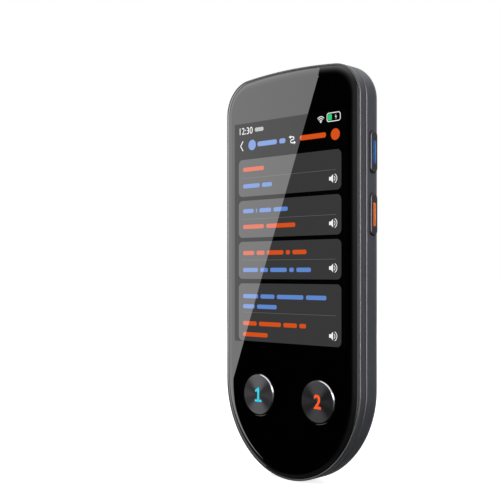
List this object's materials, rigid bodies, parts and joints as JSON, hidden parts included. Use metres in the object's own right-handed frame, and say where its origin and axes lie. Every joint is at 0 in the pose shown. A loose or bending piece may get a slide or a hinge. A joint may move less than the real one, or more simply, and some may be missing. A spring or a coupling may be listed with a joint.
{
  "type": "handheld translator",
  "caption": "Pocket voice translator with a glass front over a lit screen, two round talk buttons, two side keys, a rear camera and a rear loudspeaker.",
  "frame": {"origin": "centre of the flat back face, halfway up the case", "axes": "+Z from the round tip to the top edge, +Y out of the back, -Y out of the glass, +X towards the side keys"},
  "size_m": [0.0592, 0.0123, 0.133],
  "materials": {
    "shell_slate": "satin metallic slate lacquer, fine grain",
    "frame_gunmetal": "satin gunmetal",
    "black_glass": "polished black glass with a lit screen behind it",
    "screen": "dark display panel",
    "button_metal": "spun dark aluminium with a bright chamfer",
    "key_metal": "blasted grey aluminium",
    "inlay_blue": "glossy blue inlay",
    "inlay_orange": "glossy orange inlay",
    "ring_metal": "polished ring",
    "window_black": "polished black window",
    "steel": "plain sheet steel",
    "board_green": "solder-masked circuit board",
    "flex_amber": "amber flexible circuit",
    "pouch_silver": "foil battery pouch",
    "rubber_black": "black foam and rubber",
    "chip_black": "black moulded packages"
  },
  "bodies": {
    "case": {"rear_shell": "shell_slate", "front_frame": "frame_gunmetal", "front_glass": "black_glass", "glass_tape": "rubber_black", "display_module": "screen", "display_flex": "flex_amber", "camera_ring": "ring_metal", "camera_window": "window_black", "lens_trim": "ring_metal", "camera_module": "chip_black", "speaker_mesh": "steel", "speaker_foam": "rubber_black", "speaker_chamber": "chip_black", "speaker_driver": "steel", "battery": "pouch_silver", "battery_pad": "rubber_black", "battery_lead": "flex_amber", "main_board": "board_green", "shield_can": "steel", "board_chips": "chip_black", "board_screws": "steel", "rear_microphone": "steel", "microphone_boot": "rubber_black", "tip_microphone": "steel", "socket_board": "board_green", "charging_socket": "steel", "key_board": "board_green", "key_flex": "flex_amber", "talk_switches": "chip_black", "side_key_board": "board_green", "side_switches": "chip_black", "antenna": "flex_amber"},
    "left_talk": {"left_talk_button": "button_metal", "left_talk_stem": "steel"},
    "right_talk": {"right_talk_button": "button_metal", "right_talk_stem": "steel"},
    "upper_side": {"upper_side_key": "key_metal", "upper_inlay": "inlay_blue", "upper_side_stem": "steel"},
    "lower_side": {"lower_side_key": "key_metal", "lower_inlay": "inlay_orange", "lower_side_stem": "steel"}
  },
  "joints": [
    {"name": "left_talk_press", "type": "slide", "parent": "case", "child": "left_talk", "axis": [0, 1, 0], "range_m": [0, 0.0003], "stiffness_N_per_m": 2000, "springref_m": -0.0006},
    {"name": "right_talk_press", "type": "slide", "parent": "case", "child": "right_talk", "axis": [0, 1, 0], "range_m": [0, 0.0003], "stiffness_N_per_m": 2000, "springref_m": -0.0006},
    {"name": "upper_side_press", "type": "slide", "parent": "case", "child": "upper_side", "axis": [-1, 0, 0], "range_m": [0, 0.0003], "stiffness_N_per_m": 2000, "springref_m": -0.0006},
    {"name": "lower_side_press", "type": "slide", "parent": "case", "child": "lower_side", "axis": [-1, 0, 0], "range_m": [0, 0.0003], "stiffness_N_per_m": 2000, "springref_m": -0.0006}
  ]
}
